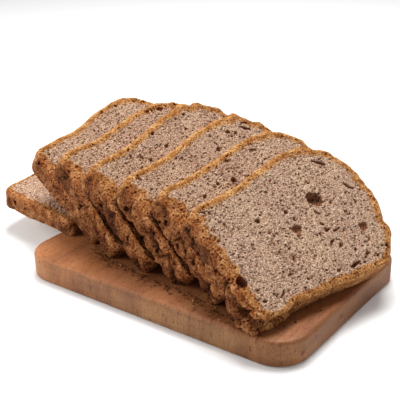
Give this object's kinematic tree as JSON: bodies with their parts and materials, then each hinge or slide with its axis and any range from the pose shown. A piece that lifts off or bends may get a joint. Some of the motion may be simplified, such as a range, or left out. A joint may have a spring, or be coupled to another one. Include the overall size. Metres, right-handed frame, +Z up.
{
  "type": "sliced tin loaf",
  "caption": "Sliced tin loaf fanned out on a small round-cornered wooden board, the slices leaning back on one another and the last lying flat past the board's end.",
  "frame": {"origin": "middle of the board's flat underside", "axes": "+X along the board's long side towards the front slice, +Y across the board, +Z up"},
  "size_m": [0.2858, 0.1642, 0.0856],
  "materials": {
    "bread": "matte",
    "beech": "matte"
  },
  "bodies": {
    "root": {"board": "beech", "slice_1": "bread", "slice_2": "bread", "slice_3": "bread", "slice_4": "bread", "slice_5": "bread", "slice_6": "bread", "slice_7": "bread"}
  },
  "joints": []
}
